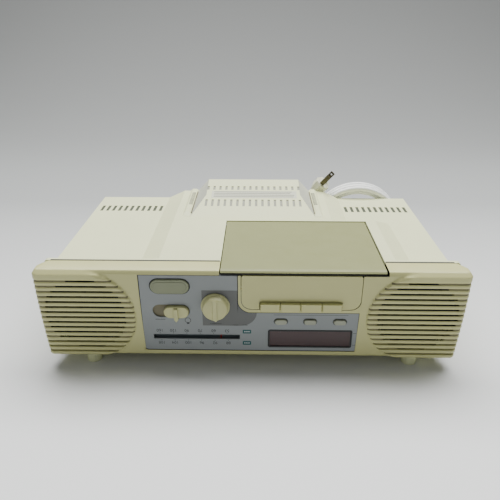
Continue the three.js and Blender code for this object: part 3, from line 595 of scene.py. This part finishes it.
def make_prints():
    patch = mark(-49.0, 6.0, 50.5, 91.7, [0, 16, 0, 0]) + [circle(*KNOB, KNOB_HOLE)]
    print_on("knob_patch", [patch], "patch")
    columns = [SCALE_START - SCALE_STEP * i for i in range(6)]
    upper = [(text, x, 44.2) for text, x in zip(UPPER_SCALE, columns)]
    lower = [(text, x + LOWER_SHIFT, 29.2) for text, x in zip(LOWER_SCALE, columns)]
    figures("dial_figures", upper + lower, FIGURE_SIZE)
    scale_ticks = [mark(x - 0.25, x + 0.25, 40.3, 41.6) for x in columns]
    scale_ticks += [mark(x + 0.95, x + 1.45, 31.6, 32.9) for x in columns]
    knob_marks = [mark(x - 2.6, x + 2.6, 51.0, 51.6) for x in (-15.6, -6.1)]
    slider_mark = [mark(-97.0, -87.0, 57.2, 57.7)]
    rules = [mark(23.0, 98.0, 63.7, 64.0), mark(-41.5, -29.5, 52.6, 53.1)]
    rules += [mark(104.6, 108.0, z, z + 0.35) for z in (27.5, 42.0)]
    bulb = [[circle(-64.0, 56.6, 3.1), circle(-64.0, 56.6, 2.6)], mark(-65.3, -62.7, 52.2, 53.8, 0.3)]
    print_on("fascia_marks", scale_ticks + knob_marks + slider_mark + rules + bulb, "ink")
    print_on("band_badges", [mark(-8.4, 0.2, z - 2.3, z + 2.3, 0.8) for z in BADGE_ROWS], "teal")
    dots = [[circle(x, z, 0.7, 12)] for x in (-6.2, -4.1, -2.0) for z in BADGE_ROWS]
    meshes = [plate_mesh("badge_dots", dot, FASCIA_FRONT - 0.08, FASCIA_FRONT - 0.02) for dot in dots]
    add_piece("badge_dots", joined("badge_dots", meshes), "pale_ink")
    # dark rings round the oval button and the set buttons: painted shadow at the edges of their holes
    rings = [[oval(*OVAL_BUTTON[:2], 40.6, 17.9), oval(*OVAL_BUTTON[:2], 39.4, 16.7)]]
    rings += [[oval(x, z, 14.2, 7.6), oval(x, z, *SET_BUTTON_HOLE)] for x, z in SET_BUTTONS]
    print_on("button_shadow_rings", rings, "ink")


def make_display():
    x0, x1, z0, z1 = DISPLAY
    outer = rounded(x0 - 0.2, x1 + 0.2, z0 - 0.2, z1 + 0.2, 2.2)
    inner = rounded(x0 + 1.5, x1 - 1.5, z0 + 1.6, z1 - 1.6, 1.4)
    mesh = plate_mesh("display_border", [outer, inner], FASCIA_FRONT - 0.35, 0.7, 0.12)
    add_piece("display_border", mesh, "black")
    pane = plate_mesh("display_pane", [rounded(x0 + 0.1, x1 - 0.1, z0 + 0.1, z1 - 0.1, 1.4)], 0.72, 2.0, 0.1)
    window = add_piece("display_pane", pane, "filter")
    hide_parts("display_window")
    # a dark tray behind the slider's slot: painted shade in the slot
    tray = plate_mesh("slider_tray", [oval(*SLIDER_SLOT[:2], 39.0, 16.0)], 2.15, 2.5, 0.1)
    add_piece("slider_tray", tray, "recess")


# ---- controls ----------------------------------------------------------------------------------
def make_knob():
    skirt = turned_mesh("skirt", [
        (0, 0.3), (14.2, 0.3), (14.5, 0.0), (14.5, -1.3), (14.2, -1.7), (13.4, -2.0), (12.9, -2.8),
        (12.2, -7.9), (11.7, -8.5), (10.9, -8.75), (0, -8.9),
    ], KNOB)
    shaft = turned_mesh("shaft", [(0, 0.1), (3.0, 0.1), (3.0, 13.8), (0, 13.9)], KNOB, 24)
    x, z = KNOB
    grip = plate_mesh("grip", [rounded(x - 2.3, x + 2.3, z - 11.6, z + 11.6, 1.6)], -10.0, -4.0, 0.7)
    pointer = [(x - 5.2, z - 12.6), (x - 0.5, z - 18.0), (x + 0.5, z - 18.0), (x + 5.2, z - 12.6)]
    tip = plate_mesh("tip", [pointer], -1.6, -0.1, 0.3)
    mesh = joined("knob_shell", [skirt, shaft, grip, tip])
    piece = add_piece("knob_shell", mesh, "knob", "knob")
    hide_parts("function_knob")


def make_slider():
    left, right = -87.4, -62.6
    cap = plate_mesh("cap", [rounded(left, right, 60.9, 74.1, 6.4)], -3.4, 1.5, 0.9)
    x = (left + right) / 2
    pointer = [(x - 1.9, 72.6), (x - 2.1, 60.0), (x, 57.2), (x + 2.1, 60.0), (x + 1.9, 72.6)]
    rib = plate_mesh("rib", [pointer], -5.4, -0.6, 0.5)
    stem = plate_mesh("stem", [rounded(x - 3, x + 3, 65, 70, 0.5)], 1.4, 8.0)
    mesh = joined("slider_shell", [cap, rib, stem])
    piece = add_piece("slider_shell", mesh, "knob", "mode_switch")
    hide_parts("mode_slider")


def make_buttons():
    x, z, length, height = OVAL_BUTTON
    cap = plate_mesh("cap", [oval(x, z, length, height)], -1.4, 1.7, 0.8)
    dish = plate_mesh("dish", [oval(x, z, length - 5, height - 5)], -1.75, -1.2, 0.3)
    stem = plate_mesh("stem", [rounded(x - 9, x + 9, z - 3, z + 3, 0.5)], 1.6, 9.0)
    mesh = joined("snooze_cap", [cap, dish, stem])
    piece = add_piece("snooze_cap", mesh, "button", "snooze")
    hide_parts("snooze_button")
    for name, (x, z) in zip(("hour_set", "minute_set", "alarm_set"), SET_BUTTONS):
        cap = plate_mesh("cap", [oval(x, z, *SET_BUTTON_SIZE)], -1.6, 1.7, 0.6)
        stem = plate_mesh("stem", [rounded(x - 3, x + 3, z - 1.2, z + 1.2, 0.3)], 1.6, 8.0)
        mesh = joined(name + "_cap", [cap, stem])
        piece = add_piece(name + "_cap", mesh, "set_button", name)
        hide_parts(name + "_button")


# ---- mains cord --------------------------------------------------------------------------------
CORD_RADIUS = 3.25
# points from the strain relief down to the floor, and from the coil's last turn up to the plug
LEAD = [
    (154, 266.8, 57), (154.2, 272, 56.8), (155, 278, 55), (156.6, 284, 50.6), (158.4, 288.4, 44),
    (159.6, 290.6, 36), (159.2, 290.6, 28), (156.4, 289, 20), (151, 286.2, 13), (143.6, 283, 7.4),
    (135, 279.6, 4.2), (126.5, 276.6, 3.6),
]
TAIL = [
    (80.9, 254.4, 66), (80.3, 255, 71), (79.7, 255.8, 76), (79.3, 256.6, 81), (79.1, 257.2, 86),
    (79.2, 257.2, 91), (79.7, 256.6, 95.6), (80.6, 255.6, 99),
]
COIL_CENTRE = (145, 253.4, 61.3)
COIL_LEAN = math.radians(8.5)
STEPS_PER_TURN = 28
# each turn's radius and its place across the ring, from the first one wound to the last
TURNS = [(50.4, 3.4), (50.4, -3.4), (57.0, -6.6), (57.0, 0.0), (57.0, 6.6)]


def coil_point(angle, radius, across):
    """A point of the leaning coil; the angle runs clockwise as seen from the front, from the bottom."""
    side, up = -radius * math.sin(angle), -radius * math.cos(angle)
    x, y, z = COIL_CENTRE
    return (
        x + side,
        y + across * math.cos(COIL_LEAN) - up * math.sin(COIL_LEAN),
        z + across * math.sin(COIL_LEAN) + up * math.cos(COIL_LEAN),
    )


def cord_route():
    """The lead, the coil and the tail; each turn crosses over to the next in its last quarter."""
    start, end = math.radians(25), math.radians(84)
    total = end - start + 2 * math.pi * len(TURNS)
    count = int(total / (2 * math.pi) * STEPS_PER_TURN)
    coil = []
    for i in range(count + 1):
        along = i / count * len(TURNS)
        turn = min(int(along), len(TURNS) - 1)
        after = min(turn + 1, len(TURNS) - 1)
        mix = smooth_step((along - turn - 0.72) / 0.28)
        radius = TURNS[turn][0] + (TURNS[after][0] - TURNS[turn][0]) * mix
        across = TURNS[turn][1] + (TURNS[after][1] - TURNS[turn][1]) * mix
        coil.append(coil_point(start + total * i / count, radius, across))
    return LEAD + coil[1:-1] + TAIL


def make_cord():
    route = cord_route()
    data = bpy.data.curves.new("power_cord", "CURVE")
    data.dimensions = "3D"
    data.bevel_depth = CORD_RADIUS * MM
    data.bevel_resolution = 5
    data.resolution_u = 4
    data.use_fill_caps = True
    spline = data.splines.new("NURBS")
    spline.points.add(len(route) - 1)
    for point, place in zip(spline.points, route):
        point.co = (*at(*place), 1)
    spline.order_u = 4
    spline.use_endpoint_u = True
    cord = bpy.data.objects.new("power_cord", data)
    bpy.context.scene.collection.objects.link(cord)
    data.materials.append(MATERIALS["cord"])
    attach(cord, "radio")
    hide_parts("power_cord_lead", "power_cord_coil", "power_cord_tail")


# ---- cabinet details ---------------------------------------------------------------------------
HUMP_FRONT, HUMP_REAR, HUMP_HALF, HUMP_RIDGE = 142.3, 236, 75.5, 60.5
HUMP_SLOPE = 0.175
RIDGE_START = 195
RAIL_RIBS, RAIL_RIB_PITCH, RAIL_RIB_START = 11, 4.2, 176


def bar_mesh(name, low, high):
    """A bar between two corners, with its edges softened."""
    def build(work):
        made = bmesh.ops.create_cube(work, size=1.0)
        for vert in made["verts"]:
            share = [0.5 + coordinate for coordinate in vert.co]
            vert.co = at(*(a + (b - a) * s for a, b, s in zip(low, high, share)))
        edges = list(work.edges)
        bmesh.ops.bevel(work, geom=edges, offset=0.25 * MM, segments=2, affect="EDGES", profile=0.5)
    return mesh_from(name, build)


def roof(y):
    """Height of the hump's sloping roof."""
    return BEZEL_TOP + HUMP_SLOPE * (y - HUMP_FRONT)


def sheet_mesh(name, corners, thickness):
    """A thin sheet over four corners, thickened downwards."""
    def build(work):
        upper = [work.verts.new(at(x, y, z)) for x, y, z in corners]
        lower = [work.verts.new(at(x, y, z - thickness)) for x, y, z in corners]
        work.faces.new(upper)
        work.faces.new(list(reversed(lower)))
        for i in range(4):
            j = (i + 1) % 4
            work.faces.new([upper[i], lower[i], lower[j], upper[j]])
        bmesh.ops.recalc_face_normals(work, faces=work.faces)
    return mesh_from(name, build)


def roof_sheet(name, x0, x1, front, back, lift, thickness):
    corners = [(x, y, roof(y) + lift) for x, y in ((x0, front), (x1, front), (x1, back), (x0, back))]
    return sheet_mesh(name, corners, thickness)


def make_rail_details():
    """The ribs on the rails beside the hump, in a dark colour of painted shade, and at each rail's foot a
    dark bar that paints the shade in its slot.
    """
    ribs, slots = [], []
    for way in (-1, 1):
        left, right = sorted((way * 77.2, way * 81.8))
        for i in range(RAIL_RIBS):
            y = RAIL_RIB_START + i * RAIL_RIB_PITCH
            ribs.append(bar_mesh("rib", (left, y, BEZEL_TOP + 2.2), (right, y + 2.1, BEZEL_TOP + 3.1)))
        left, right = sorted((way * 74.9, way * 76.2))
        slots.append(bar_mesh("slot", (left, 150, BEZEL_TOP), (right, 228, BEZEL_TOP + 1.9)))
    add_piece("rail_ribs", joined("rail_ribs", ribs), "rib_shade_and_rule_ink")
    add_piece("rail_slot_shades", joined("rail_slot_shades", slots), "recess")


def make_hump_flanks():
    flanks = []
    for way in (-1, 1):
        foot, ridge = way * HUMP_HALF, way * HUMP_RIDGE
        corners = [
            (foot, HUMP_FRONT, BEZEL_TOP), (foot, HUMP_REAR, BEZEL_TOP),
            (ridge, HUMP_REAR, roof(HUMP_REAR)), (ridge, RIDGE_START, roof(RIDGE_START)),
        ]
        flanks.append(sheet_mesh("flank", [(x + way * 0.15, y, z + 0.15) for x, y, z in corners], 0.5))
    add_piece("hump_flanks", joined("hump_flanks", flanks), "shaded_ivory")


def make_vent_shades():
    """Painted shade seen through the vents: grey sheets just under the hump's roof, and dark bars under the
    two wings.
    """
    rows = ((164, 184), (205.5, 219))
    shade_sheets = [roof_sheet("shade_sheet", -64, 64, front, back, -0.9, 0.8) for front, back in rows]
    add_piece("hump_vent_shade_sheets", joined("hump_vent_shade_sheets", shade_sheets), "vent")
    wings = []
    for way in (-1, 1):
        left, right = sorted((way * 117, way * 201))
        wings.append(bar_mesh("shade_sheet", (left, 182, 101.2), (right, 205, 102.3)))
    add_piece("wing_vent_shade_bars", joined("wing_vent_shade_bars", wings), "wing_vent")


def make_label():
    """A label without words: a film with plain rules of uneven length."""
    film = roof_sheet("blank_label", -54, 56, 186.5, 204, 0.12, 0.15)
    add_piece("blank_label", film, "label")
    lines = ((52, 189), (53, 193), (48, 197.2), (50, 201.2))
    # printed rules, in the colour that also paints the shade on the rails' ribs
    rules = [roof_sheet("rule", -51, end, y, y + 1.3, 0.2, 0.12) for end, y in lines]
    add_piece("label_rules", joined("label_rules", rules), "rib_shade_and_rule_ink")


def make_seams():
    """Painted shadow in the joints: black strips between the bezel and the cabinet, and under the door
    plate's front edge.
    """
    spans = ((-203.4, NOTCH_LEFT - 0.6), (NOTCH_RIGHT + 0.6, 203.4))
    front, back, top = SHELL_BACK + 0.05, 24.0, BEZEL_TOP + 0.15
    strips = [bar_mesh("strip", (x0, front, 60), (x1, back, top)) for x0, x1 in spans]
    add_piece("bezel_joint_shadow", joined("bezel_joint_shadow", strips), "black")
    plate_shadow = bar_mesh("door_plate_shadow", (-29.6, 1.5, 108.7), (131.6, 4, 110.2))
    add_piece("door_plate_shadow", plate_shadow, "black", "cassette_door")


# ---- finish on the CAD pieces that stay --------------------------------------------------------
FINISHES = {
    "ivory": ["main_cabinet", "mounting_cover", "mounting_spacer_front_left",
              "mounting_spacer_front_right", "mounting_spacer_rear_left", "mounting_spacer_rear_right"],
    "cream": ["cassette_door_flap", "stop_eject_key", "fast_forward_key", "rewind_key", "play_key"],
    "tan": ["cassette_door_plate"],
    "dial_back": ["dial_backplate"],
    "black": ["display_module", "dial_cord", "tuning_wheel", "volume_wheel", "cassette_holder",
              "supply_spindle", "take_up_spindle", "appliance_outlet", "speaker_frame_left",
              "speaker_frame_right", "speaker_magnet_left", "speaker_magnet_right"],
    "red": ["dial_needle"],
    "rubber": ["drive_belt", "pinch_roller"],
    "paper": ["speaker_cone_left", "speaker_cone_right"],
    "steel": ["cover_screw_front_left", "cover_screw_front_right", "cover_screw_rear_left",
              "cover_screw_rear_right", "door_hinge_pin", "deck_chassis", "capstan_flywheel",
              "drive_motor", "motor_pulley", "tape_head", "power_transformer"],
    "board": ["main_circuit_board"],
    "plug": ["cord_strain_relief", "plug_body"],
    "brass": ["plug_blade_left", "plug_blade_right"],
}
# how far the edges of a piece are rounded, in millimetres
EDGES = {
    "main_cabinet": 0.9, "mounting_cover": 0.4, "cassette_door_flap": 0.5, "cassette_door_plate": 0.5,
    "stop_eject_key": 0.9, "fast_forward_key": 0.9, "rewind_key": 0.9, "play_key": 0.9, "plug_body": 0.8,
    "plug_blade_left": 0.3, "plug_blade_right": 0.3, "appliance_outlet": 0.4, "tape_head": 0.4,
    "cassette_holder": 0.3, "power_transformer": 0.5, "deck_chassis": 0.3,
}


def finish_cad_pieces():
    for material, names in FINISHES.items():
        for name in names:
            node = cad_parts[name]
            if not node.material_slots:
                node.data.materials.append(MATERIALS[material])
            node.material_slots[0].material = MATERIALS[material]
            if name in EDGES:
                edge = node.modifiers.new("edge", "BEVEL")
                edge.width = EDGES[name] * MM
                edge.segments = 3
                edge.limit_method = "ANGLE"
                edge.angle_limit = math.radians(20)


# ---- floor and light ---------------------------------------------------------------------------
# the paper sweep, in metres
SWEEP_FRONT, SWEEP_BEND, SWEEP_RADIUS, SWEEP_TOP, SWEEP_HALF = -2.5, 0.75, 0.6, 4.0, 5
# tones along the sweep's depth: painted shade, darker towards the back
SWEEP_SHADE_TONES = [
    (0.0, (0.88, 0.89, 0.88)),
    (0.40, (0.33, 0.34, 0.335)),
    (1.0, (0.135, 0.139, 0.135)),
]


def make_stage():
    """A sweep of paper under and behind the radio, darkened towards its back by painted shade."""
    def build(work):
        profile = [(SWEEP_FRONT, 0.0), (SWEEP_BEND, 0.0)]
        for step in range(1, 13):
            angle = math.radians(90 * step / 12)
            along, up = SWEEP_RADIUS * math.sin(angle), SWEEP_RADIUS * math.cos(angle)
            profile.append((SWEEP_BEND + along, SWEEP_RADIUS - up))
        profile.append((SWEEP_BEND + SWEEP_RADIUS, SWEEP_TOP))
        rows = [[work.verts.new((x, y, z)) for x in (-SWEEP_HALF, SWEEP_HALF)] for y, z in profile]
        for first, second in zip(rows, rows[1:]):
            work.faces.new([first[0], first[1], second[1], second[0]])
    mesh = mesh_from("studio_sweep", build)
    mesh.shade_smooth()
    sweep = bpy.data.objects.new("studio_sweep", mesh)
    bpy.context.scene.collection.objects.link(sweep)
    material, tree, shader = new_material("studio_paper")
    place = tree.nodes.new("ShaderNodeNewGeometry")
    split = tree.nodes.new("ShaderNodeSeparateXYZ")
    tree.links.new(place.outputs["Position"], split.inputs["Vector"])
    depth = tree.nodes.new("ShaderNodeMapRange")
    depth.inputs["From Min"].default_value = -0.3
    depth.inputs["From Max"].default_value = 1.4
    tree.links.new(split.outputs["Y"], depth.inputs["Value"])
    tone = ramp(tree, depth.outputs["Result"], SWEEP_SHADE_TONES)
    tree.links.new(tone.outputs["Color"], shader.inputs["Base Color"])
    shader.inputs["Roughness"].default_value = 0.75
    mesh.materials.append(material)


def add_light(name, location, target, size, power):
    data = bpy.data.lights.new(name, "AREA")
    data.shape = "RECTANGLE"
    data.size, data.size_y = size
    data.energy = power
    lamp = bpy.data.objects.new(name, data)
    bpy.context.scene.collection.objects.link(lamp)
    lamp.location = location
    lamp.rotation_euler = (Vector(target) - Vector(location)).to_track_quat("-Z", "Y").to_euler()


def make_light():
    world = bpy.data.worlds.new("studio")
    bpy.context.scene.world = world
    world.use_nodes = True
    background = world.node_tree.nodes["Background"]
    background.inputs["Color"].default_value = (0.93, 0.96, 1.0, 1)
    background.inputs["Strength"].default_value = 0.20
    add_light("overhead", (0.1, 0.6, 1.55), (0, 0.05, 0.05), (2.4, 1.0), 84)
    add_light("front_fill", (-0.5, -1.6, 1.1), (0, 0, 0.06), (1.6, 1.2), 1.5)


make_camera()
make_cord()
make_bezel()
make_fascia()
make_fascia_edges()
make_prints()
make_display()
make_knob()
make_slider()
make_buttons()
make_rail_details()
make_hump_flanks()
make_vent_shades()
make_label()
make_seams()
finish_cad_pieces()
make_stage()
make_light()
